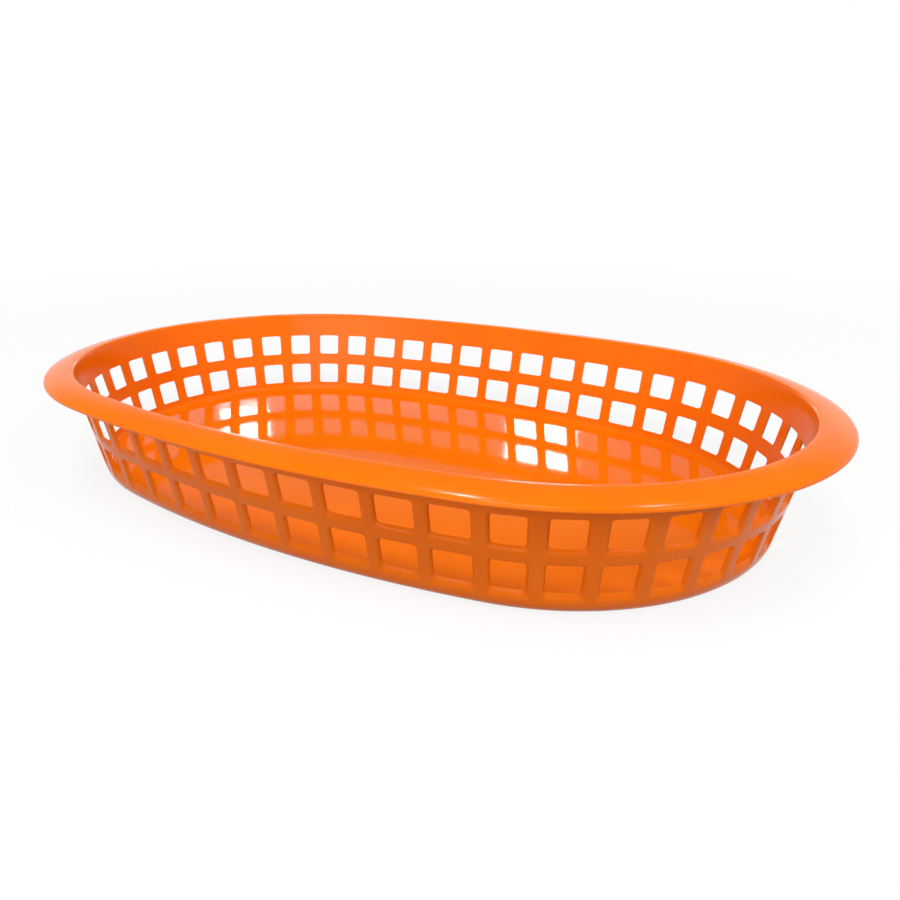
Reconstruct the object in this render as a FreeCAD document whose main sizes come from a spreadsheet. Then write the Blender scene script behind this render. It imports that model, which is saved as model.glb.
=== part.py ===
"""Oval fast food basket, injection moulded in one piece.

Millimetres, +Z up.  The origin is the centre of the base, on the plane that the basket stands on.
The length runs along X and the width along Y.

The plan is an oval of four tangent arcs: two long side arcs and two tight end arcs.  Every wall,
corner and rim line is an offset of that oval.  So one section, turned about the centre of each
arc, makes the whole shell, and the columns of holes are turned about the same centres.
"""
import FreeCAD, Part
import math
import os
import Sketcher

# Each row is the alias of a driving dimension, its value and what it measures.
SIZES = (
    ("basket_length", 266.7, "over the rim, along X"),
    ("basket_width", 178.4, "over the rim, along Y"),
    ("basket_height", 37.0, "table to the crest of the rim"),
    ("end_radius", 84.5, "outline of the rim at each end"),
    ("wall_thickness", 1.1, "wall and rim"),
    ("floor_thickness", 1.5, "solid floor"),
    ("floor_rise", 2.0, "table to the underside of the floor"),
    ("foot_width", 1.5, "flat of the foot that runs round under the wall"),
    ("wall_lean", 12.5, "degrees from upright, opening upwards"),
    ("rim_width", 9.4, "outermost edge to the inside of the wall"),
    ("crest_bevel", 0.9, "bevel between the wall and the top of the rim"),
    ("dome_radius", 22.0, "fall of the rim towards its edge"),
    ("edge_radius", 1.2, "round that turns the edge of the rim down"),
    ("inner_corner", 2.0, "round between the wall and the floor, inside"),
    ("outer_corner", 4.6, "round between the wall and the foot, outside"),
    ("floor_margin", 9.0, "width of the floor that is turned with the wall"),
    ("side_columns", 9, "columns of holes along each side arc"),
    ("end_columns", 15, "columns of holes round each end arc"),
    ("side_hole_width", 9.7, "a hole of a side arc, at the inside of the wall"),
    ("end_hole_width", 8.2, "a hole of an end arc, at the inside of the wall"),
    ("hole_height", 8.2, "up the slope, at the inside of the wall"),
    ("hole_draft", 28.0, "degrees by which jambs and heads open outwards"),
    ("lower_sill", 6.8, "table to the lower row of holes"),
    ("row_pitch", 12.8, "lower row to upper row"),
    ("lower_sill_fall", 58.0, "degrees by which the lower sills fall outwards"),
    ("upper_sill_fall", 42.0, "degrees by which the upper sills fall outwards"),
    ("cutter_reach", 1.2, "how far a hole's cutter stands clear of the wall"),
)

# Sizes that follow from the driving ones.  The end sweep is the angle that an end arc spans.
# A row's inset is how far inside the rim's outline the wall's inner face lies at that row.
LAYOUT = (
    ("side_radius", "((Sizes.basket_length / 2 - Sizes.end_radius) ^ 2 + (Sizes.basket_width / 2) ^ 2"
                    " - Sizes.end_radius ^ 2) / (Sizes.basket_width - 2 * Sizes.end_radius)"),
    ("end_centre", "Sizes.basket_length / 2 - Sizes.end_radius"),
    ("side_centre", "Sizes.basket_width / 2 - side_radius"),
    ("end_sweep", "2 * atan(-side_centre / end_centre) / 1deg"),
    ("side_sweep", "180 - end_sweep"),
    ("end_pitch", "end_sweep / Sizes.end_columns"),
    ("side_pitch", "side_sweep / Sizes.side_columns"),
    ("floor_inset", "Sizes.rim_width + Sizes.basket_height * tan(Sizes.wall_lean) + Sizes.floor_margin"),
    ("lower_row", "Sizes.lower_sill + Sizes.hole_height / 2 * cos(Sizes.wall_lean)"),
    ("upper_row", "lower_row + Sizes.row_pitch"),
    ("lower_inset", "Sizes.rim_width + (Sizes.basket_height - lower_row) * tan(Sizes.wall_lean)"),
    ("upper_inset", "Sizes.rim_width + (Sizes.basket_height - upper_row) * tan(Sizes.wall_lean)"),
)

ORIGIN = (-1, 1)
H_AXIS = -1
INNER_FLATS = 1
OUTER_FLATS = 2

doc = FreeCAD.newDocument("FoodBasket")
sizes = doc.addObject("Spreadsheet::Sheet", "Sizes")
for row, (alias, value, meaning) in enumerate(SIZES, start=1):
    sizes.set(f"A{row}", meaning)
    sizes.set(f"B{row}", str(value))
    sizes.setAlias(f"B{row}", alias)

layout = doc.addObject("Spreadsheet::Sheet", "Layout")
for row, (alias, formula) in enumerate(LAYOUT, start=1):
    layout.set(f"A{row}", alias.replace("_", " "))
    layout.set(f"B{row}", "=" + formula)
    layout.setAlias(f"B{row}", alias)
doc.recompute()

body = doc.addObject("PartDesign::Body", "basket")
body.Label = "basket"
doc.recompute()
PLANES = {feature.Role: feature for feature in body.Origin.OriginFeatures}


def value(expression):
    """Present value of a formula of the sheets, in millimetres or degrees."""
    result = body.evalExpression(expression)
    return getattr(result, "Value", result)


def place_sketch(name, base, yaw="0", roll="0"):
    """New sketch on the base plane, moved to base, turned by yaw about Z and tipped up by roll."""
    sketch = body.newObject("Sketcher::SketchObject", name)
    sketch.AttachmentSupport = [(PLANES["XY_Plane"], "")]
    sketch.MapMode = "FlatFace"
    for axis, expression in zip("xyz", base):
        sketch.setExpression(f"AttachmentOffset.Base.{axis}", expression)
    sketch.setExpression("AttachmentOffset.Rotation.Yaw", yaw)
    sketch.setExpression("AttachmentOffset.Rotation.Roll", roll)
    doc.recompute()
    return sketch


def add_line(sketch, start, end):
    """Straight edge; returns its number and which of its ends comes first and last."""
    number = sketch.addGeometry(Part.LineSegment(FreeCAD.Vector(*start, 0), FreeCAD.Vector(*end, 0)), False)
    return number, 1, 2


def add_arc(sketch, centre, start, end, clockwise=False, construction=False):
    """Arc about centre; returns its number and which of its ends comes first and last."""
    first, last = (end, start) if clockwise else (start, end)
    angles = [math.atan2(point[1] - centre[1], point[0] - centre[0]) for point in (first, last)]
    circle = Part.Circle(FreeCAD.Vector(*centre, 0), FreeCAD.Vector(0, 0, 1), math.dist(centre, start))
    number = sketch.addGeometry(Part.ArcOfCircle(circle, *angles), construction)
    return (number, 2, 1) if clockwise else (number, 1, 2)


def corner(sketch, before, after):
    """Join the last end of one edge to the first end of the next."""
    sketch.addConstraint(Sketcher.Constraint("Coincident", before[0], before[2], after[0], after[1]))


def smooth(sketch, before, after):
    """Join two edges as a corner does, and make them tangent there."""
    sketch.addConstraint(Sketcher.Constraint("Tangent", before[0], before[2], after[0], after[1]))


def dimension(sketch, expression, kind, *where):
    """Dimension of a sketch that follows a formula of the sheets."""
    draft = value(expression)
    if kind == "Angle":
        draft = math.radians(draft)
    number = sketch.addConstraint(Sketcher.Constraint(kind, *where, draft))
    sketch.setExpression(f"Constraints[{number}]", expression)


def add_flats(sketch, before, after, arc, points):
    """Round made of equal flats, from one line to another: the chords of a construction arc."""
    chords = [add_line(sketch, start, end) for start, end in zip(points, points[1:])]
    smooth(sketch, before, arc)
    smooth(sketch, arc, after)
    for first, second in zip([before, *chords], [*chords, after]):
        corner(sketch, first, second)
    for first, second in zip(chords, chords[1:]):
        sketch.addConstraint(Sketcher.Constraint("PointOnObject", first[0], 2, arc[0]))
        sketch.addConstraint(Sketcher.Constraint("Equal", first[0], second[0]))


def wall_section(name, arc):
    """Section of the basket from the floor to the rim, drawn out from the centre of one arc.

    The vertical axis of the sketch is the axis of the arc.  The inner face of the wall leans
    outwards through the point K, inside the rim at its full height.  The wall runs down past
    the floor to a foot.
    """
    sketch = place_sketch(name, (*arc["centre"], "0"), arc["middle"], "90")
    lean = math.radians(value("Sizes.wall_lean"))
    rim_x = value(arc["radius"])
    floor_x = value(f"{arc['radius']} - Layout.floor_inset")
    height = value("Sizes.basket_height")
    wall = value("Sizes.wall_thickness")
    floor_under_z = value("Sizes.floor_rise")
    floor_z = floor_under_z + value("Sizes.floor_thickness")
    dome = value("Sizes.dome_radius")
    edge = value("Sizes.edge_radius")
    k_x = rim_x - value("Sizes.rim_width")
    half_turn = (math.pi / 2 - lean) / 2

    def beside_wall(distance, at_height):
        """Point at a height, that far outside the inner face of the wall, square to it."""
        return (k_x - (height - at_height) * math.tan(lean) + distance / math.cos(lean), at_height)

    def round_points(corner_point, radius, flats):
        """Centre and points of a round between a level line and the wall above it."""
        centre = (corner_point[0] - radius * math.tan(half_turn), corner_point[1] + radius)
        angles = [-math.pi / 2 + (math.pi / 2 - lean) * step / flats for step in range(flats + 1)]
        return centre, [(centre[0] + radius * math.cos(t), centre[1] + radius * math.sin(t)) for t in angles]

    inner_c, inner_points = round_points(beside_wall(0, floor_z), value("Sizes.inner_corner"), INNER_FLATS)
    outer_c, outer_points = round_points(beside_wall(wall, 0), value("Sizes.outer_corner"), OUTER_FLATS)
    crest_leg = value("Sizes.crest_bevel") / 2 / math.cos(half_turn)
    wall_head = (k_x - crest_leg * math.sin(lean), height - crest_leg * math.cos(lean))
    crest = (k_x + crest_leg, height)
    dome_c = (crest[0], height - dome)
    swing = math.asin((rim_x - edge - dome_c[0]) / (dome - edge))
    dome_end = (dome_c[0] + dome * math.sin(swing), dome_c[1] + dome * math.cos(swing))
    edge_c = (rim_x - edge, dome_c[1] + (dome - edge) * math.cos(swing))
    edge_end = (rim_x, edge_c[1])
    foot_end = (rim_x - wall, edge_c[1])
    outer_head = beside_wall(wall, height - wall)
    foot_back_x = outer_points[0][0] - value("Sizes.foot_width")

    floor_top = add_line(sketch, (floor_x, floor_z), inner_points[0])
    inner_wall = add_line(sketch, inner_points[-1], wall_head)
    crest_bevel = add_line(sketch, wall_head, crest)
    rim_top = add_arc(sketch, dome_c, crest, dome_end, clockwise=True)
    edge_round = add_arc(sketch, edge_c, dome_end, edge_end, clockwise=True)
    rim_foot = add_line(sketch, edge_end, foot_end)
    rim_under = add_line(sketch, foot_end, outer_head)
    outer_wall = add_line(sketch, outer_head, outer_points[-1])
    foot = add_line(sketch, outer_points[0], (foot_back_x, 0))
    foot_back = add_line(sketch, (foot_back_x, 0), (foot_back_x, floor_under_z))
    floor_under = add_line(sketch, (foot_back_x, floor_under_z), (floor_x, floor_under_z))
    floor_edge = add_line(sketch, (floor_x, floor_under_z), (floor_x, floor_z))
    inner_arc = add_arc(sketch, inner_c, inner_points[0], inner_points[-1], construction=True)
    outer_arc = add_arc(sketch, outer_c, outer_points[-1], outer_points[0], clockwise=True, construction=True)
    k_point = (sketch.addGeometry(Part.Point(FreeCAD.Vector(k_x, height, 0)), True), 1)

    upper_chain = (inner_wall, crest_bevel, rim_top, edge_round, rim_foot, rim_under, outer_wall)
    lower_chain = (foot, foot_back, floor_under, floor_edge, floor_top)
    for chain in (upper_chain, lower_chain):
        for before, after in zip(chain, chain[1:]):
            join = smooth if (before, after) == (rim_top, edge_round) else corner
            join(sketch, before, after)
    add_flats(sketch, floor_top, inner_wall, inner_arc, inner_points)
    add_flats(sketch, outer_wall, foot, outer_arc, outer_points[::-1])
    for level in (floor_top, floor_under, rim_foot, foot):
        sketch.addConstraint(Sketcher.Constraint("Horizontal", level[0]))
    for upright in (floor_edge, foot_back):
        sketch.addConstraint(Sketcher.Constraint("Vertical", upright[0]))
    sketch.addConstraint(Sketcher.Constraint("PointOnObject", foot[0], 2, H_AXIS))
    sketch.addConstraint(Sketcher.Constraint("PointOnObject", *k_point, inner_wall[0]))
    sketch.addConstraint(Sketcher.Constraint("Vertical", crest_bevel[0], 2, rim_top[0], 3))
    sketch.addConstraint(Sketcher.Constraint("Horizontal", edge_round[0], 3, rim_foot[0], 1))
    sketch.addConstraint(Sketcher.Constraint("Parallel", outer_wall[0], inner_wall[0]))

    radius = arc["radius"]
    dimension(sketch, f"{radius} - Sizes.rim_width", "DistanceX", *ORIGIN, *k_point)
    dimension(sketch, "Sizes.basket_height", "DistanceY", *ORIGIN, *k_point)
    dimension(sketch, f"{radius} - Layout.floor_inset", "DistanceX", *ORIGIN, floor_edge[0], 2)
    dimension(sketch, "Sizes.floor_rise", "DistanceY", *ORIGIN, floor_edge[0], 1)
    dimension(sketch, "Sizes.floor_thickness", "DistanceY", floor_edge[0], 1, floor_edge[0], 2)
    dimension(sketch, "Sizes.foot_width", "Distance", foot[0])
    dimension(sketch, "90 - Sizes.wall_lean", "Angle", inner_wall[0])
    dimension(sketch, "Sizes.wall_thickness", "Distance", outer_wall[0], 1, inner_wall[0])
    dimension(sketch, "Sizes.inner_corner", "Radius", inner_arc[0])
    dimension(sketch, "Sizes.outer_corner", "Radius", outer_arc[0])
    dimension(sketch, "Sizes.crest_bevel", "Distance", crest_bevel[0])
    dimension(sketch, "(90 - Sizes.wall_lean) / 2", "Angle", crest_bevel[0])
    dimension(sketch, "Sizes.basket_height", "DistanceY", *ORIGIN, crest_bevel[0], 2)
    dimension(sketch, "Sizes.dome_radius", "Radius", rim_top[0])
    dimension(sketch, "Sizes.edge_radius", "Radius", edge_round[0])
    dimension(sketch, radius, "DistanceX", *ORIGIN, rim_foot[0], 1)
    dimension(sketch, "Sizes.wall_thickness", "Distance", rim_foot[0])
    dimension(sketch, "Sizes.basket_height - Sizes.wall_thickness", "DistanceY", *ORIGIN, outer_wall[0], 1)
    doc.recompute()
    return sketch


def turned_wall(name, section, sweep):
    """Wall, rim and edge of the floor: the section turned half the sweep to each side."""
    wall = body.newObject("PartDesign::Revolution", name)
    wall.Profile = (section, [""])
    wall.ReferenceAxis = (section, ["V_Axis"])
    wall.Midplane = True
    wall.setExpression("Angle", sweep)
    doc.recompute()
    return wall


def oval(sketch, inset):
    """Closed outline that runs everywhere that far inside the outline of the rim."""
    end_r = value(f"Sizes.end_radius - {inset}")
    side_r = value(f"Layout.side_radius - {inset}")
    end_x = value("Layout.end_centre")
    side_y = value("Layout.side_centre")
    half = math.radians(value("Layout.end_sweep") / 2)
    joint = (end_x + end_r * math.cos(half), end_r * math.sin(half))
    joints = [(joint[0], -joint[1]), joint, (-joint[0], joint[1]), (-joint[0], -joint[1])]
    centres = [(end_x, 0), (0, side_y), (-end_x, 0), (0, -side_y)]
    arcs = [
        add_arc(sketch, centre, start, end)
        for centre, start, end in zip(centres, joints, joints[1:] + joints[:1])
    ]
    for before, after in zip(arcs, arcs[1:] + arcs[:1]):
        smooth(sketch, before, after)
    right, far, left, near = [arc[0] for arc in arcs]
    for end in (right, left):
        sketch.addConstraint(Sketcher.Constraint("PointOnObject", end, 3, H_AXIS))
        dimension(sketch, f"Sizes.end_radius - {inset}", "Radius", end)
    dimension(sketch, "Layout.end_centre", "DistanceX", *ORIGIN, right, 3)
    dimension(sketch, "Layout.end_centre", "DistanceX", left, 3, *ORIGIN)
    for side in (far, near):
        dimension(sketch, f"Layout.side_radius - {inset}", "Radius", side)
    doc.recompute()


def half_turns(angle):
    """Formula for the same angle, brought between -180 and 180 degrees."""
    return f"mod({angle} + 540; 360) - 180"


def hole(name, arc, row):
    """Hole of the first column of an arc: a wedge cut square to the leaning wall.

    Depth runs outwards from the inner face of the wall.  Jambs and head open outwards by the
    draft, and the sill falls outwards more steeply.
    """
    aim = f"({arc['middle']} - ({arc['sweep']} - {arc['pitch']}) / 2)"
    out = f"({arc['radius']} - Layout.{row}_inset)"
    cut = body.newObject("PartDesign::SubtractiveWedge", name)
    cut.AttachmentSupport = [(PLANES["XY_Plane"], "")]
    cut.MapMode = "FlatFace"
    cut.setExpression("AttachmentOffset.Base.x", f"{arc['centre'][0]} + {out} * cos({aim})")
    cut.setExpression("AttachmentOffset.Base.y", f"{arc['centre'][1]} + {out} * sin({aim})")
    cut.setExpression("AttachmentOffset.Base.z", f"Layout.{row}_row")
    cut.setExpression("AttachmentOffset.Rotation.Yaw", half_turns(f"{aim} - 90"))
    cut.setExpression("AttachmentOffset.Rotation.Roll", "-Sizes.wall_lean")
    depths = {"": "-Sizes.cutter_reach", "2": "(Sizes.wall_thickness + Sizes.cutter_reach)"}
    cut.setExpression("Ymin", depths[""])
    cut.setExpression("Ymax", depths["2"])
    for end, depth in depths.items():
        half_width = f"{arc['width']} / 2 + {depth} * tan(Sizes.hole_draft)"
        cut.setExpression(f"X{end}min", f"-({half_width})")
        cut.setExpression(f"X{end}max", half_width)
        cut.setExpression(f"Z{end}min", f"-Sizes.hole_height / 2 - {depth} * tan(Sizes.{row}_sill_fall)")
        cut.setExpression(f"Z{end}max", f"Sizes.hole_height / 2 + {depth} * tan(Sizes.hole_draft)")
    doc.recompute()
    return cut


def row_of_holes(name, arc, section, row):
    """One row of holes along an arc, from its first column to its last."""
    first = hole(f"{name}_first", arc, row)
    columns = body.newObject("PartDesign::PolarPattern", name)
    columns.Originals = [first]
    columns.Axis = (section, ["V_Axis"])
    columns.setExpression("Angle", f"{arc['sweep']} - {arc['pitch']}")
    columns.setExpression("Occurrences", arc["columns"])
    body.Tip = columns
    doc.recompute()
    return columns


END = {
    "radius": "Sizes.end_radius",
    "sweep": "Layout.end_sweep",
    "pitch": "Layout.end_pitch",
    "columns": "Sizes.end_columns",
    "width": "Sizes.end_hole_width",
}
SIDE = {
    "radius": "Layout.side_radius",
    "sweep": "Layout.side_sweep",
    "pitch": "Layout.side_pitch",
    "columns": "Sizes.side_columns",
    "width": "Sizes.side_hole_width",
}
ARCS = {
    "right_end": {**END, "centre": ("Layout.end_centre", "0"), "middle": "0"},
    "far_side": {**SIDE, "centre": ("0", "Layout.side_centre"), "middle": "90"},
    "left_end": {**END, "centre": ("-Layout.end_centre", "0"), "middle": "180"},
    "near_side": {**SIDE, "centre": ("0", "-Layout.side_centre"), "middle": "-90"},
}

sections = {}
for name, arc in ARCS.items():
    sections[name] = wall_section(f"{name}_section", arc)
    turned_wall(f"{name}_wall", sections[name], arc["sweep"])

floor_outline = place_sketch("floor_outline", ("0", "0", "Sizes.floor_rise"))
oval(floor_outline, "Layout.floor_inset")
floor = body.newObject("PartDesign::Pad", "floor")
floor.Profile = (floor_outline, [""])
floor.setExpression("Length", "Sizes.floor_thickness")
doc.recompute()

for name, arc in ARCS.items():
    for row in ("lower", "upper"):
        row_of_holes(f"{name}_{row}_holes", arc, sections[name], row)

body.Placement = FreeCAD.Placement()
doc.recompute()

for item in doc.Objects:
    bad = {"Invalid", "Error"} & set(item.State)
    if bad:
        raise RuntimeError(f"{item.Name} did not compute: {sorted(bad)}")
    if item.isDerivedFrom("PartDesign::Feature") or item is body:
        if item.Shape.isNull() or not item.Shape.isValid():
            raise RuntimeError(f"{item.Name} has no valid shape")
if len(body.Shape.Solids) != 1:
    raise RuntimeError("the basket is not one solid")

os.makedirs("parts", exist_ok=True)
body.Shape.exportStep("parts/basket.step")
print("basket volume", round(body.Shape.Volume), "mm3")
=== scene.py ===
# %% [markdown]
# # An oval fast food basket in orange plastic
#
# The real basket is one injection moulding: a solid floor, a low wall that leans outwards and is
# pierced by two rows of square holes, and a broad rim that domes over and turns down at its edge.
# The lesson builds that moulding as one closed surface, gives it the gloss and the faint flow
# marks of moulded polypropylene, and sets it in a small white studio.

import math

import bmesh
import bpy
import numpy as np
from mathutils import Matrix, Vector


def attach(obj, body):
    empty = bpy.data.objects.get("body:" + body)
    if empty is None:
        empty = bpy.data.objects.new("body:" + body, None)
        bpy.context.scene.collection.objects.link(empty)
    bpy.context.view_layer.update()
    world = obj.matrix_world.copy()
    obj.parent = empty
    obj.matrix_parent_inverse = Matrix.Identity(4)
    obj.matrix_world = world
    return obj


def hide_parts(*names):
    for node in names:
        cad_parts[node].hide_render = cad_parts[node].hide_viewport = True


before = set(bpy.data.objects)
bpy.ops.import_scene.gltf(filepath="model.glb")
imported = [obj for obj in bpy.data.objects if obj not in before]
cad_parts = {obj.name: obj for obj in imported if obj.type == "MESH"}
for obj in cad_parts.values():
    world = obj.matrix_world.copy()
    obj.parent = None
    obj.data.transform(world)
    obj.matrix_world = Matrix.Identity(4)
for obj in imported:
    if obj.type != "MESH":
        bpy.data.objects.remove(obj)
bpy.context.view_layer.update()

# %% [markdown]
# ## The sizes of the moulding
#
# All lengths are in millimetres until the mesh is made.  The plan of the rim is an oval of four
# arcs that run into each other smoothly.  Every other line of the basket, seen from above, is that
# oval moved inwards by some inset, so a point is given by three numbers: how far round the oval it
# lies, its inset, and its height.

# %% Sizes
MM = 0.001
LENGTH, WIDTH, HEIGHT = 266.7, 178.4, 37.0
END_RADIUS = 84.5
WALL = 1.1
LEAN = math.radians(12.5)
RIM_WIDTH = 9.4
FLOOR_UNDER, FLOOR_TOP = 2.0, 3.5

END_X = LENGTH / 2 - END_RADIUS
SIDE_RADIUS = (END_X**2 + (WIDTH / 2) ** 2 - END_RADIUS**2) / (WIDTH - 2 * END_RADIUS)
SIDE_Y = SIDE_RADIUS - WIDTH / 2
END_SWEEP = 2 * math.atan(SIDE_Y / END_X)
SIDE_SWEEP = math.pi - END_SWEEP
print(f"side arcs: radius {SIDE_RADIUS:.1f} mm; end arcs span {math.degrees(END_SWEEP):.1f} degrees")

# %% [markdown]
# ## Round the oval by columns
#
# The holes stand in columns: fifteen round each end and nine along each side.  Counting columns is
# a good way to say how far round the oval a point lies, because each column then has the same
# number of mesh faces and the pattern of holes closes exactly.

# %% The oval as a function of the column
END_COLUMNS, SIDE_COLUMNS = 15, 9
COLUMNS = 2 * (END_COLUMNS + SIDE_COLUMNS)
ARC_STARTS = np.array([0, END_COLUMNS, END_COLUMNS + SIDE_COLUMNS, 2 * END_COLUMNS + SIDE_COLUMNS])
ARC_CENTRES = np.array([(END_X, 0), (0, -SIDE_Y), (-END_X, 0), (0, SIDE_Y)])
ARC_RADII = np.array([END_RADIUS, SIDE_RADIUS, END_RADIUS, SIDE_RADIUS])
ARC_PITCHES = np.array([END_SWEEP / END_COLUMNS, SIDE_SWEEP / SIDE_COLUMNS] * 2)
ARC_ANGLES = np.array([-END_SWEEP / 2, END_SWEEP / 2, math.pi - END_SWEEP / 2, math.pi + END_SWEEP / 2])


def arc_of(column):
    """Which of the four arcs a column lies on: right end, far side, left end or near side."""
    return np.searchsorted(ARC_STARTS, np.floor(column), side="right") - 1


def around(column, inset, height, arc=None):
    """Points of the basket, in metres.

    The column gives the arc and the angle on it: the arc's first angle plus the pitch for each
    column passed.  The point lies on that ray from the arc's centre, at the arc's radius less
    the inset.
    """
    column, inset, height = np.broadcast_arrays(column, inset, height)
    arc = arc_of(column) if arc is None else np.broadcast_to(arc, column.shape)
    angle = ARC_ANGLES[arc] + (column - ARC_STARTS[arc]) * ARC_PITCHES[arc]
    reach = ARC_RADII[arc] - inset
    x = ARC_CENTRES[arc, 0] + reach * np.cos(angle)
    y = ARC_CENTRES[arc, 1] + reach * np.sin(angle)
    return np.stack([x, y, height], axis=-1) * MM


print("pitch of the holes at the rim:", np.round(ARC_PITCHES[:2] * ARC_RADII[:2], 2), "mm")

# %% [markdown]
# ## The size of a hole
#
# Each hole is a rounded square, a little wider along the sides than round the ends.  The mould's
# pins make it open outwards: the jambs and the head by a little, and the sill by much more, so that
# it sheds crumbs and shows as a bright strip under each hole of the near side.  Its arrises are
# rounded, gently inside and more outside.
#
# A way through the wall is given by two lists that run together: how deep in the wall each ring
# lies, and how far it spreads past the hole's own edge.  The first and last rings lie flat on the
# two faces, a little outside the round, so that the faces shade as flat.

# %% Sizes of a hole and its way through the wall
HOLE_HEIGHT = 8.2
HOLE_WIDTHS = np.array([8.2, 9.7, 8.2, 9.7])
HOLE_CORNER = 0.9
DRAFT = math.radians(28.0)
SILL_FALLS = np.radians([58.0, 42.0])
LOWER_SILL, ROW_PITCH = 6.8, 12.8
ROW_HEIGHTS = np.array([LOWER_SILL + HOLE_HEIGHT / 2 * math.cos(LEAN)] * 2) + (0, ROW_PITCH)
INNER_ARRIS, OUTER_ARRIS, FLAT_MARGIN = 0.25, 0.5, 0.15

inner_turn = np.radians([0, 30, 60, 90])
outer_turn = np.radians([90, 67.5, 45, 22.5, 0])
RING_DEPTH = np.concatenate([
    [0],
    INNER_ARRIS * (1 - np.cos(inner_turn)),
    WALL - OUTER_ARRIS * (1 - np.cos(outer_turn)),
    [WALL],
])
RING_SPREAD = np.concatenate([
    [INNER_ARRIS + FLAT_MARGIN],
    INNER_ARRIS * (1 - np.sin(inner_turn)),
    OUTER_ARRIS * (1 - np.sin(outer_turn)),
    [OUTER_ARRIS + FLAT_MARGIN],
])
print("middles of the two rows of holes:", np.round(ROW_HEIGHTS, 2), "mm up")

# %% [markdown]
# ## Rings through the wall
#
# The hole is made as a set of rings.  A ring starts as a square, and its corners are rounded by
# drawing them in.  The rings shrink to the hole's edge, roll over it, pass through the wall and
# roll out again.

# %% Rings of a hole
STEPS = 10


def square_ring(steps):
    """Points of a square of half size 1, walked once round from its lower right corner."""
    side = np.arange(steps) / steps * 2 - 1
    one = np.ones(steps)
    x = np.concatenate([one, -side, -one, side])
    y = np.concatenate([side, one, -side, -one])
    return x, y


def hole_rings(width, row):
    """Rings of one hole, as distances along the wall, up its slope and through it.

    A ring is a square whose corner zone is drawn in to a quarter circle: each point moves to the
    nearest point of the square less its corner radius, and then outwards by that radius.  The
    sampling is bunched towards the corners by a sine, where the curvature is.
    """
    x, y = square_ring(STEPS)
    x, y = np.sin(x * math.pi / 2), np.sin(y * math.pi / 2)
    depth = RING_DEPTH[:, None]
    spread = RING_SPREAD[:, None]
    side = width / 2 + depth * math.tan(DRAFT) + spread
    head = HOLE_HEIGHT / 2 + depth * math.tan(DRAFT) + spread
    sill = HOLE_HEIGHT / 2 + depth * math.tan(SILL_FALLS[row]) + spread
    middle = (head - sill) / 2
    half = (head + sill) / 2
    corner = HOLE_CORNER + spread
    square_x, square_y = x * side, y * half
    core_x = np.clip(square_x, corner - side, side - corner)
    core_y = np.clip(square_y, corner - half, half - corner)
    grow = corner / np.hypot(square_x - core_x, square_y - core_y)
    along = core_x + (square_x - core_x) * grow
    up = core_y + (square_y - core_y) * grow + middle
    return along, up, depth + 0 * square_x


sample = hole_rings(HOLE_WIDTHS[0], 0)[0]
print("one hole:", sample.shape[0], "rings of", sample.shape[1], "points")

# %% [markdown]
# ## The cell of wall round a hole
#
# Each hole sits in its own cell of the wall, which reaches halfway to the next hole on every side.
# The lower row's cells end sooner, a little above the corners of floor and base.  The cell's
# border is one more ring on the inner face and one on the outer face.  Neighbouring cells share
# their borders point for point, so the whole wall closes when the doubles are merged.

# %% Cells of the wall
HALF_ROW = ROW_PITCH / 2 / math.cos(LEAN)
INNER_BOTTOM, OUTER_BOTTOM = -5.6, -6.8


def hole_cell(column, row):
    """The rings of one column's hole in place, between its cell's borders on both faces.

    A distance up the slope or through the wall turns into an inset and a height by the sine and
    cosine of the wall's lean, and a distance along the wall into a part of a column.
    """
    arc = arc_of(column)
    row_height = ROW_HEIGHTS[row]
    row_inset = RIM_WIDTH + (HEIGHT - row_height) * math.tan(LEAN)
    reach = ARC_RADII[arc] - row_inset
    along, up, depth = hole_rings(HOLE_WIDTHS[arc], row)
    x, y = square_ring(STEPS)
    lows = (INNER_BOTTOM, OUTER_BOTTOM) if row == 0 else (-HALF_ROW, -HALF_ROW)
    border_along = x * ARC_PITCHES[arc] * reach / 2
    inner_up, outer_up = [low + (y + 1) / 2 * (HALF_ROW - low) for low in lows]
    along = np.vstack([border_along, along, border_along])
    up = np.vstack([inner_up, up, outer_up])
    depth = np.vstack([0 * x, depth, 0 * x + WALL])
    inset = row_inset - up * math.sin(LEAN) - depth * math.cos(LEAN)
    height = row_height + up * math.cos(LEAN) - depth * math.sin(LEAN)
    return around(column + 0.5 + along / reach / ARC_PITCHES[arc], inset, height, arc)


cells = [hole_cell(column, row) for column in range(COLUMNS) for row in (0, 1)]
print(len(cells), "cells round the wall")

# %% [markdown]
# ## Drawing the section
#
# Above and below the holes the basket has the same section all the way round, so the rest of it
# is drawn as profiles.  A point of a profile is an inset and a height.  Four small helpers place
# points on the wall's faces, on an arc, and on the round between two straight lines.

# %% Helpers for the section


def wall_point(up, depth, row=1):
    """Inset and height of a point of the wall, measured from the middle of a row of holes."""
    inset = RIM_WIDTH + (HEIGHT - ROW_HEIGHTS[row]) * math.tan(LEAN)
    return np.array([
        inset - up * math.sin(LEAN) - depth * math.cos(LEAN),
        ROW_HEIGHTS[row] + up * math.cos(LEAN) - depth * math.sin(LEAN),
    ])


def wall_at(height, depth):
    """Inset and height of the point of the wall's face at a height."""
    inset = RIM_WIDTH + (HEIGHT - height) * math.tan(LEAN) - depth / math.cos(LEAN)
    return np.array([inset, height])


def arc_points(centre, radius, first, last, steps):
    """Points of an arc in the section; angles in degrees, 0 pointing out and 90 pointing up."""
    angle = np.radians(np.linspace(first, last, steps + 1))
    return np.stack([centre[0] - radius * np.cos(angle), centre[1] + radius * np.sin(angle)], axis=1)


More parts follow.
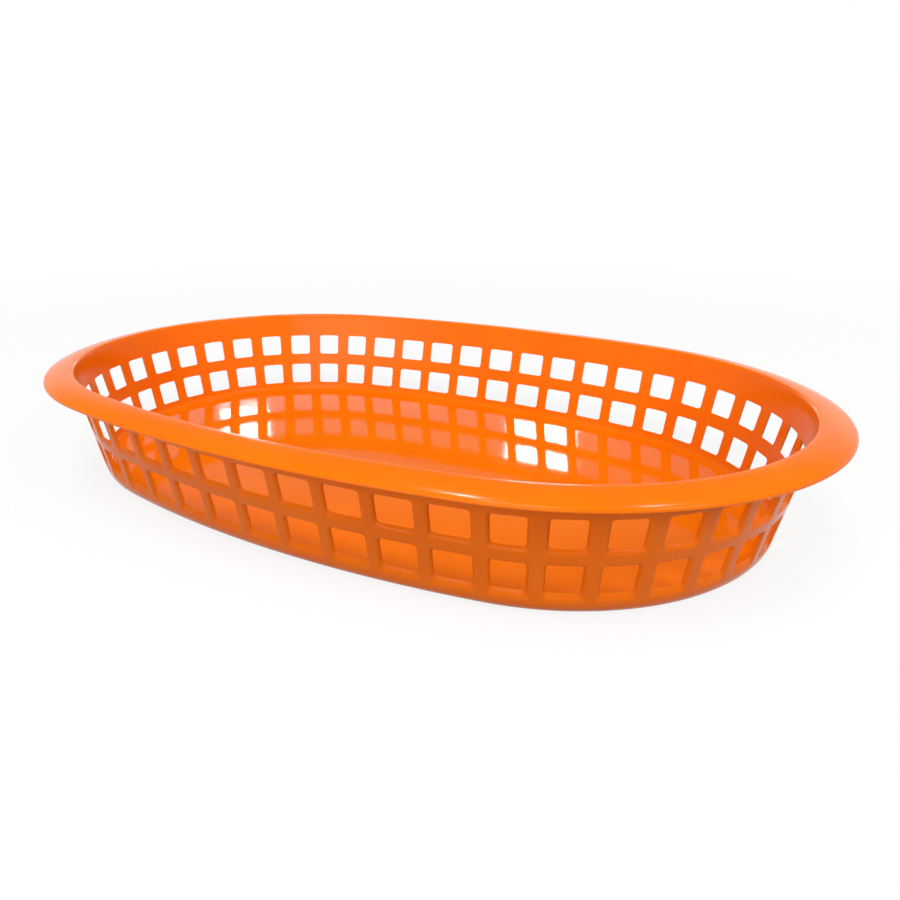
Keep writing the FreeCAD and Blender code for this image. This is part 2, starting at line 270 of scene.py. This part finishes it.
def blend_corner(corner, before, after, radius, steps):
    """Round of that radius in a corner of the section, between its two straight sides.

    The round's centre lies on the line that halves the corner, at the radius over the sine of
    half the corner's angle, and the round turns through what that angle lacks of a half turn.
    """
    first = np.subtract(before, corner) / np.linalg.norm(np.subtract(before, corner))
    second = np.subtract(after, corner) / np.linalg.norm(np.subtract(after, corner))
    half_angle = math.acos(float(first @ second)) / 2
    middle = (first + second) / np.linalg.norm(first + second)
    centre = corner + middle * radius / math.sin(half_angle)
    turn = np.linspace(-1, 1, steps + 1)[:, None] * (math.pi / 2 - half_angle)
    across = (second - first) / np.linalg.norm(second - first)
    return centre + radius * (np.sin(turn) * across - np.cos(turn) * middle)


print("inner face of the wall at the floor:", np.round(wall_at(FLOOR_TOP, 0), 2), "mm")

# %% [markdown]
# ## The profile of the rim
#
# The rim starts at the upper border of the holes.  It rises up the inner wall, rounds over the
# crest, falls along a dome, turns down at the edge and comes back along the underside to the outer
# face of the wall.

# %% Rim profile
DOME_RADIUS, EDGE_RADIUS = 22.0, 1.2
CREST_ROUND, UNDER_ROUND = 0.9, 0.7
LIP_DEPTH, LIP_ROUND = 0.25, 0.35
EDGE_END, UNDER_END = 10, 87
STRAIGHT_INSIDE, STRAIGHT_OUTSIDE = 3, 4.5

crest_inset = RIM_WIDTH - CREST_ROUND * math.tan((math.pi / 2 - LEAN) / 2)
dome_centre = (crest_inset, HEIGHT - DOME_RADIUS)
swing = math.degrees(math.asin((crest_inset - EDGE_RADIUS) / (DOME_RADIUS - EDGE_RADIUS)))
edge_height = dome_centre[1] + (DOME_RADIUS - EDGE_RADIUS) * math.cos(math.radians(swing))
lip_height = edge_height - LIP_DEPTH + LIP_ROUND
under_corner = wall_at(HEIGHT - WALL, WALL)
under_start = math.degrees(math.asin((crest_inset - WALL) / (DOME_RADIUS - WALL)))

rim_profile = np.vstack([
    wall_point(HALF_ROW, 0),
    wall_at(HEIGHT - STRAIGHT_INSIDE, 0),
    blend_corner(wall_at(HEIGHT, 0), wall_at(0, 0), (0, HEIGHT), CREST_ROUND, steps=6),
    arc_points(dome_centre, DOME_RADIUS, 90, 90 - swing, steps=8)[1:],
    arc_points((EDGE_RADIUS, edge_height), EDGE_RADIUS, 90 - swing, EDGE_END, steps=5)[1:],
    arc_points((LIP_ROUND, lip_height), LIP_ROUND, 0, -90, steps=3)[1:],
    arc_points((WALL - LIP_ROUND, lip_height), LIP_ROUND, -90, -180, steps=3),
    arc_points(dome_centre, DOME_RADIUS - WALL, 90 - under_start, UNDER_END, steps=5),
    blend_corner(under_corner, (0, HEIGHT - WALL), wall_at(0, WALL), UNDER_ROUND, steps=3),
    wall_at(HEIGHT - STRAIGHT_OUTSIDE, WALL),
    wall_point(HALF_ROW, WALL),
])
print("rim profile:", len(rim_profile), "points; the dome falls", round(HEIGHT - edge_height, 1), "mm")

# %% [markdown]
# ## The profiles of the floor and the base
#
# Two shorter profiles run from the lower border of the holes.  The inner one rounds into the
# floor.  The outer one rounds under the wall to the narrow foot that the basket stands on, and
# steps up behind the foot to the underside of the floor.  Both end on the flat, well inside.

# %% Floor and base profiles
INNER_ROUND, OUTER_ROUND, FOOT_ROUND = 2.0, 4.6, 0.4
FOOT_WIDTH = 1.5
FIELD_INSET, INWARDS = 24, 60

floor_profile = np.vstack([
    wall_point(INNER_BOTTOM, 0, row=0),
    blend_corner(wall_at(FLOOR_TOP, 0), wall_at(HEIGHT, 0), (INWARDS, FLOOR_TOP), INNER_ROUND, steps=5),
    (FIELD_INSET, FLOOR_TOP),
])
outer_round = blend_corner(wall_at(0, WALL), wall_at(HEIGHT, WALL), (INWARDS, 0), OUTER_ROUND, steps=6)
foot_back = outer_round[-1, 0] + FOOT_WIDTH
foot_edge, foot_step = np.array([foot_back, 0]), np.array([foot_back, FLOOR_UNDER])
base_profile = np.vstack([
    wall_point(OUTER_BOTTOM, WALL, row=0),
    outer_round,
    blend_corner(foot_edge, (0, 0), (foot_back, HEIGHT), FOOT_ROUND, steps=3),
    blend_corner(foot_step, (foot_back, 0), (INWARDS, FLOOR_UNDER), FOOT_ROUND, steps=3),
    (FIELD_INSET, FLOOR_UNDER),
])
print("points of the floor and base profiles:", len(floor_profile), len(base_profile))

# %% [markdown]
# ## From grids to faces
#
# Each hole and each profile is a grid of points, so its faces follow from the grid's shape alone:
# every point makes a quad with its neighbour along the row and the two points after them.  All
# grids go into one list, and points that coincide are merged, which sews the cells, the rim, the
# floor and the base together.

# %% Grids


def grid_quads(rows, columns):
    """Corner numbers of the quads of a grid that is closed along its columns."""
    row, column = np.meshgrid(np.arange(rows - 1), np.arange(columns), indexing="ij")
    after = (column + 1) % columns
    here, above = row * columns, (row + 1) * columns
    return np.stack([here + column, here + after, above + after, above + column], -1).reshape(-1, 4)


def carried(profile):
    """A profile of insets and heights carried along the oval, as a grid of points."""
    column = np.arange(COLUMNS * STEPS) / STEPS
    return around(column, profile[:, :1], profile[:, 1:])


def join_grids(grids):
    """One list of points and quads from many grids, and the place in it of each grid's points.

    Points that agree to a ten-thousandth of a millimetre are merged.
    """
    points, quads, start = [], [], 0
    for grid in grids:
        points.append(grid.reshape(-1, 3))
        quads.append(grid_quads(*grid.shape[:2]) + start)
        start += grid.shape[0] * grid.shape[1]
    points, quads = np.concatenate(points), np.concatenate(quads)
    whole = np.round(points * 1e7).astype(np.int64)
    _, first, place = np.unique(whole, axis=0, return_index=True, return_inverse=True)
    return points[first], place.ravel()[quads], place.ravel()


rim, floor_edge, base_edge = carried(rim_profile), carried(floor_profile), carried(base_profile)
points, quads, place = join_grids(cells + [rim, floor_edge, base_edge])
print(len(points), "points and", len(quads), "quads")

# %% [markdown]
# ## One closed surface
#
# The two flat fields in the middle of floor and base are each closed by one face, whose corners
# are the last ring of the floor's grid and of the base's.  A closed surface has exactly two faces
# at every edge, which is worth counting before anything is rendered, and so is its volume: at 1 to
# 1.5 mm thick it takes about 70 cm3 of plastic.

# %% Build the moulding
round_count = COLUMNS * STEPS
base_field = place[-round_count:]
floor_field = place[-round_count * (1 + len(base_profile)):][:round_count]

mesh = bpy.data.meshes.new("basket_moulding")
mesh.from_pydata(points.tolist(), [], quads.tolist() + [floor_field.tolist(), base_field.tolist()])
mesh.update()
work = bmesh.new()
work.from_mesh(mesh)
bmesh.ops.recalc_face_normals(work, faces=work.faces)
open_edges = sum(1 for edge in work.edges if len(edge.link_faces) != 2)
triangles = sum(len(face.verts) - 2 for face in work.faces)
volume = work.calc_volume(signed=True)
work.to_mesh(mesh)
work.free()
mesh.shade_smooth()
basket = bpy.data.objects.new("basket_moulding", mesh)
bpy.context.collection.objects.link(basket)
print(f"{triangles} triangles, {open_edges} open edges, {volume * 1e6:.1f} cm3 of plastic")

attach(basket, "root")
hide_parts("basket")

# %% [markdown]
# ## Colours and nodes
#
# A colour is written as it looks on a screen, in sRGB hex, and the shader wants it in linear
# light, so one function turns it.  A second one adds a node with its settings, values and links,
# which keeps a material's recipe readable from top to bottom.

# %% Colour and node helpers


def linear(hex_colour):
    """Linear RGBA of an sRGB hex colour: each channel through the sRGB curve."""
    channels = [int(hex_colour[i:i + 2], 16) / 255 for i in (1, 3, 5)]
    curve = [c / 12.92 if c <= 0.04045 else ((c + 0.055) / 1.055) ** 2.4 for c in channels]
    return (*curve, 1.0)


def add_node(tree, kind, settings=None, inputs=None, links=None):
    """Add one node, with its settings, the values of its inputs and the links into them."""
    node = tree.nodes.new(kind)
    for name, value in (settings or {}).items():
        setattr(node, name, value)
    for name, value in (inputs or {}).items():
        node.inputs[name].default_value = value
    for name, socket in (links or {}).items():
        tree.links.new(socket, node.inputs[name])
    return node


def new_material(name):
    """A material with an empty node tree and its output."""
    material = bpy.data.materials.new(name)
    material.use_nodes = True
    material.node_tree.nodes.clear()
    output = material.node_tree.nodes.new("ShaderNodeOutputMaterial")
    return material, material.node_tree, output


print("middle grey #808080 in linear light:", round(linear("#808080")[0], 3))

# %% [markdown]
# ## Moulded orange polypropylene
#
# The real material is polypropylene, coloured through and moulded in a steel tool.  It has a
# smooth gloss, and the surface is never quite flat: the walls shrink as they cool, and the colour
# varies faintly where the plastic flowed round the pins of the holes.  Red light goes about 2 mm
# into it and green and blue less, which softens the shading of the thin bars.
#
# The floor looks best polished: it mirrors the far wall, so the roughness is low there and rises
# just above it.  In the photograph the plastic shines as in a room that is less bright than the
# white round it here, so its specular level is set under the usual value.

# %% Polypropylene
CLOUD_SIZE, RIPPLE_SIZE, RIPPLE_DEPTH = 25, 9, 0.15
POLISHED, MOULDED, GLOSS_CHANGE = 0.05, 0.14, 0.04
POLISH_END, MOULDED_START = FLOOR_TOP + 0.2, FLOOR_TOP + 2.0

plastic, tree, output = new_material("moulded_orange_polypropylene")
coords = add_node(tree, "ShaderNodeTexCoord")
clouds = add_node(
    tree, "ShaderNodeTexNoise", inputs={"Scale": 1 / (CLOUD_SIZE * MM), "Detail": 2.0, "Roughness": 0.5},
    links={"Vector": coords.outputs["Object"]},
)
colour = add_node(tree, "ShaderNodeValToRGB", links={"Fac": clouds.outputs["Fac"]})
thin, full = colour.color_ramp.elements
thin.position, thin.color = 0.35, linear("#F27004")
full.position, full.color = 0.65, linear("#F57506")
split = add_node(tree, "ShaderNodeSeparateXYZ", links={0: coords.outputs["Object"]})
polish = add_node(
    tree, "ShaderNodeMapRange",
    inputs={
        "From Min": POLISH_END * MM, "From Max": MOULDED_START * MM,
        "To Min": POLISHED, "To Max": MOULDED,
    },
    links={"Value": split.outputs["Z"]},
)
gloss = add_node(
    tree, "ShaderNodeMath", {"operation": "MULTIPLY_ADD"}, inputs={1: GLOSS_CHANGE},
    links={0: clouds.outputs["Fac"], 2: polish.outputs["Result"]},
)
ripple = add_node(
    tree, "ShaderNodeTexNoise", inputs={"Scale": 1 / (RIPPLE_SIZE * MM), "Detail": 1.0},
    links={"Vector": coords.outputs["Object"]},
)
bump = add_node(
    tree, "ShaderNodeBump", inputs={"Strength": 0.25, "Distance": RIPPLE_DEPTH * MM},
    links={"Height": ripple.outputs["Fac"]},
)
shader = add_node(
    tree, "ShaderNodeBsdfPrincipled",
    inputs={
        "IOR": 1.49, "Specular IOR Level": 0.11,
        "Subsurface Weight": 0.15, "Subsurface Radius": (2.0, 0.8, 0.3), "Subsurface Scale": MM,
    },
    links={
        "Base Color": colour.outputs["Color"], "Roughness": gloss.outputs["Value"],
        "Normal": bump.outputs["Normal"],
    },
)
tree.links.new(shader.outputs["BSDF"], output.inputs["Surface"])
basket.data.materials.append(plastic)
print("material:", plastic.name, "with", len(tree.nodes), "nodes")

# %% [markdown]
# ## White seamless paper
#
# The photograph is a catalogue shot on white.  The basket stands in the middle of a wide paper
# sweep: a flat floor that curves up on all sides into a low wall.  The paper looks white to the
# camera and in reflections, while the light that it gives back to the basket is plain.  Near the
# basket it still takes a soft shadow, so its whiteness rises with the distance.

# %% Paper
SHADOW_END, WHITE_START, NEAR_WHITENESS = 0.2, 0.7, 0.85
FIBRE_SIZE, FIBRE_DEPTH = 4, 0.05


def seen_directly(tree):
    """1 for rays from the camera, mirror reflections and rays through glass, else 0."""
    path = add_node(tree, "ShaderNodeLightPath")
    either = add_node(
        tree, "ShaderNodeMath", {"operation": "MAXIMUM"},
        links={0: path.outputs["Is Camera Ray"], 1: path.outputs["Is Glossy Ray"]},
    )
    return add_node(
        tree, "ShaderNodeMath", {"operation": "MAXIMUM"},
        links={0: either.outputs[0], 1: path.outputs["Is Transmission Ray"]},
    ).outputs[0]


paper, tree, output = new_material("white_seamless_paper")
coords = add_node(tree, "ShaderNodeTexCoord")
fibres = add_node(
    tree, "ShaderNodeTexNoise", inputs={"Scale": 1 / (FIBRE_SIZE * MM), "Detail": 2.0},
    links={"Vector": coords.outputs["Object"]},
)
tooth = add_node(
    tree, "ShaderNodeBump", inputs={"Strength": 0.1, "Distance": FIBRE_DEPTH * MM},
    links={"Height": fibres.outputs["Fac"]},
)
matt = add_node(
    tree, "ShaderNodeBsdfDiffuse", inputs={"Color": linear("#F4F4F2")},
    links={"Normal": tooth.outputs["Normal"]},
)
white = add_node(tree, "ShaderNodeEmission", inputs={"Color": (1, 1, 1, 1), "Strength": 1.0})
away = add_node(
    tree, "ShaderNodeVectorMath", {"operation": "LENGTH"}, links={0: coords.outputs["Object"]}
)
whiteness = add_node(
    tree, "ShaderNodeMapRange",
    inputs={"From Min": SHADOW_END, "From Max": WHITE_START, "To Min": NEAR_WHITENESS, "To Max": 1.0},
    links={"Value": away.outputs["Value"]},
)
shown = add_node(
    tree, "ShaderNodeMixShader",
    links={0: whiteness.outputs["Result"], 1: matt.outputs["BSDF"], 2: white.outputs["Emission"]},
)
bounce = add_node(tree, "ShaderNodeBsdfDiffuse", inputs={"Color": linear("#8C8C8A")})
mixed = add_node(
    tree, "ShaderNodeMixShader",
    links={0: seen_directly(tree), 1: bounce.outputs["BSDF"], 2: shown.outputs["Shader"]},
)
tree.links.new(mixed.outputs["Shader"], output.inputs["Surface"])
paper.cycles.emission_sampling = "NONE"
print("material:", paper.name, "with", len(tree.nodes), "nodes")

# %% [markdown]
# ## The paper sweep
#
# The sweep is a profile turned about the upright axis: flat, then a quarter circle up, then a
# short upright end.  It is metres across, because the basket's polished floor mirrors it at a low
# angle, and the camera has to see paper behind the basket from every side.

# %% Paper sweep
FLAT_RINGS = [0.4, 0.8, 1.6]
SWEEP_FLAT, SWEEP_BEND, SWEEP_TOP = 3.0, 1.0, 1.15
SWEEP_SIDES, BEND_RINGS = 96, 13

bend = np.linspace(0, math.pi / 2, BEND_RINGS)
sweep_end = SWEEP_FLAT + SWEEP_BEND
sweep_reach = np.concatenate([FLAT_RINGS, SWEEP_FLAT + SWEEP_BEND * np.sin(bend), [sweep_end]])
sweep_height = np.concatenate([[0] * len(FLAT_RINGS), SWEEP_BEND * (1 - np.cos(bend)), [SWEEP_TOP]])
turn = np.linspace(0, 2 * math.pi, SWEEP_SIDES, endpoint=False)
sweep_grid = np.stack([
    sweep_reach[:, None] * np.cos(turn),
    sweep_reach[:, None] * np.sin(turn),
    sweep_height[:, None] + 0 * turn,
], axis=-1)
sweep_faces = [list(range(SWEEP_SIDES))] + grid_quads(len(sweep_reach), SWEEP_SIDES)[:, ::-1].tolist()
floor_mesh = bpy.data.meshes.new("paper_sweep")
floor_mesh.from_pydata(sweep_grid.reshape(-1, 3).tolist(), [], sweep_faces)
floor_mesh.shade_smooth()
floor_mesh.materials.append(paper)
floor = bpy.data.objects.new("paper_sweep", floor_mesh)
bpy.context.collection.objects.link(floor)
print("paper sweep:", len(floor_mesh.polygons), "faces")

# %% [markdown]
# ## Room light
#
# Above the sweep the room is plain.  It looks white to the camera, gives the basket a soft, even
# light of its own, and is shown to reflections as white near the horizon, fading upwards.  So the
# floor mirrors white through the holes of the far wall, while the rim, which mirrors what is high
# up, keeps its colour.

# %% Room light
ROOM_LIGHT, HIGH_ROOM = 0.46, 0.2
FADE_START, FADE_END = math.radians(14), math.radians(27)

world = bpy.data.worlds.new("studio_room")
bpy.context.scene.world = world
world.use_nodes = True
tree = world.node_tree
tree.nodes.clear()
coords = add_node(tree, "ShaderNodeTexCoord")
split = add_node(tree, "ShaderNodeSeparateXYZ", links={0: coords.outputs["Generated"]})
mirrored = add_node(
    tree, "ShaderNodeMapRange",
    inputs={
        "From Min": math.sin(FADE_START), "From Max": math.sin(FADE_END),
        "To Min": 1.0, "To Max": HIGH_ROOM,
    },
    links={"Value": split.outputs["Z"]},
)
path = add_node(tree, "ShaderNodeLightPath")
looked_at = add_node(
    tree, "ShaderNodeMath", {"operation": "MAXIMUM"},
    links={0: path.outputs["Is Camera Ray"], 1: path.outputs["Is Transmission Ray"]},
)
lit = add_node(
    tree, "ShaderNodeMix", inputs={"A": ROOM_LIGHT, "B": 1.0}, links={"Factor": looked_at.outputs[0]}
)
strength = add_node(
    tree, "ShaderNodeMix",
    links={
        "Factor": path.outputs["Is Glossy Ray"],
        "A": lit.outputs["Result"], "B": mirrored.outputs["Result"],
    },
)
room = add_node(
    tree, "ShaderNodeBackground", inputs={"Color": (1, 1, 1, 1)},
    links={"Strength": strength.outputs["Result"]},
)
add_node(tree, "ShaderNodeOutputWorld", links={"Surface": room.outputs["Background"]})
print("room light:", ROOM_LIGHT)

# %% [markdown]
# ## Lamps
#
# Three soft lamps shape the basket: a wide one low in front, one above and one at the right.  All
# stand on the near side and most of their light falls from above, so the inside of the far wall,
# which leans back, is brighter than the outside of the near wall, which hangs over.
#
# Two lamps far behind, low down, are what the polished floor mirrors as small white squares
# through the holes of the far wall.  Two small ones behind, high up, give the near rim its
# sparkles, and are shown to reflections alone.

# %% Lamps


def soft_lamp(name, place, size, power):
    """A rectangular area lamp of that size in metres and power in watts, turned to the basket."""
    lamp = bpy.data.lights.new(name, "AREA")
    lamp.shape = "RECTANGLE"
    lamp.size, lamp.size_y = size
    lamp.energy = power
    holder = bpy.data.objects.new(name, lamp)
    holder.location = place
    holder.rotation_euler = (-Vector(place)).to_track_quat("-Z", "Y").to_euler()
    holder.visible_camera = False
    bpy.context.collection.objects.link(holder)
    return holder


soft_lamp("front", place=(0.13, -0.96, 0.34), size=(1.0, 0.5), power=4.7)
soft_lamp("above", place=(0.10, -0.40, 0.90), size=(0.35, 0.35), power=4.2)
spark_left = soft_lamp("spark_left", place=(-0.305, 0.276, 1.119), size=(0.04, 0.04), power=2.2)
spark_right = soft_lamp("spark_right", place=(0.29, 0.46, 1.096), size=(0.04, 0.04), power=2.2)
spark_left.visible_diffuse = spark_right.visible_diffuse = False
soft_lamp("side", place=(0.77, -0.20, 0.60), size=(0.35, 0.35), power=2.6)
soft_lamp("window_left", place=(-1.032, 0.99, 0.454), size=(0.105, 0.08), power=0.4)
soft_lamp("window_right", place=(-0.46, 1.335, 0.506), size=(0.157, 0.118), power=0.85)
print("lamps:", [lamp.name for lamp in bpy.data.lights])

# %% [markdown]
# ## Camera
#
# The photograph is taken from the near right, from quite close.  Azimuth, elevation and distance
# are those of a camera whose picture of the oval and its holes falls on the photograph's.

# %% Camera
AZIMUTH, ELEVATION, ROLL = np.radians([31.452, 17.982, -0.152])
DISTANCE, AIM_HEIGHT = 261.782, 19.0
FOCAL_PIXELS, PICTURE = 759.0, 900
CENTRE_U, CENTRE_V = 406.33, 418.24
SENSOR_WIDTH, CLIP_START = 36.0, 0.01

right = np.array([math.cos(AZIMUTH), math.sin(AZIMUTH), 0])
back = np.array([
    math.sin(AZIMUTH) * math.cos(ELEVATION),
    -math.cos(AZIMUTH) * math.cos(ELEVATION),
    math.sin(ELEVATION),
])
up = np.cross(back, right)
axis_x = right * math.cos(ROLL) + up * math.sin(ROLL)
axis_y = up * math.cos(ROLL) - right * math.sin(ROLL)
eye = (back * DISTANCE + (0, 0, AIM_HEIGHT)) * MM

camera_data = bpy.data.cameras.new("camera")
camera_data.sensor_width = SENSOR_WIDTH
camera_data.lens = FOCAL_PIXELS / PICTURE * SENSOR_WIDTH
camera_data.shift_x = 0.5 - CENTRE_U / PICTURE
camera_data.shift_y = CENTRE_V / PICTURE - 0.5
camera_data.clip_start = CLIP_START
camera = bpy.data.objects.new("camera", camera_data)
camera.matrix_world = Matrix([
    (axis_x[0], axis_y[0], back[0], eye[0]),
    (axis_x[1], axis_y[1], back[1], eye[1]),
    (axis_x[2], axis_y[2], back[2], eye[2]),
    (0, 0, 0, 1),
])
bpy.context.collection.objects.link(camera)
bpy.context.scene.camera = camera
bpy.context.scene.view_settings.view_transform = "Standard"
print("camera at", np.round(eye / MM, 1), "mm")
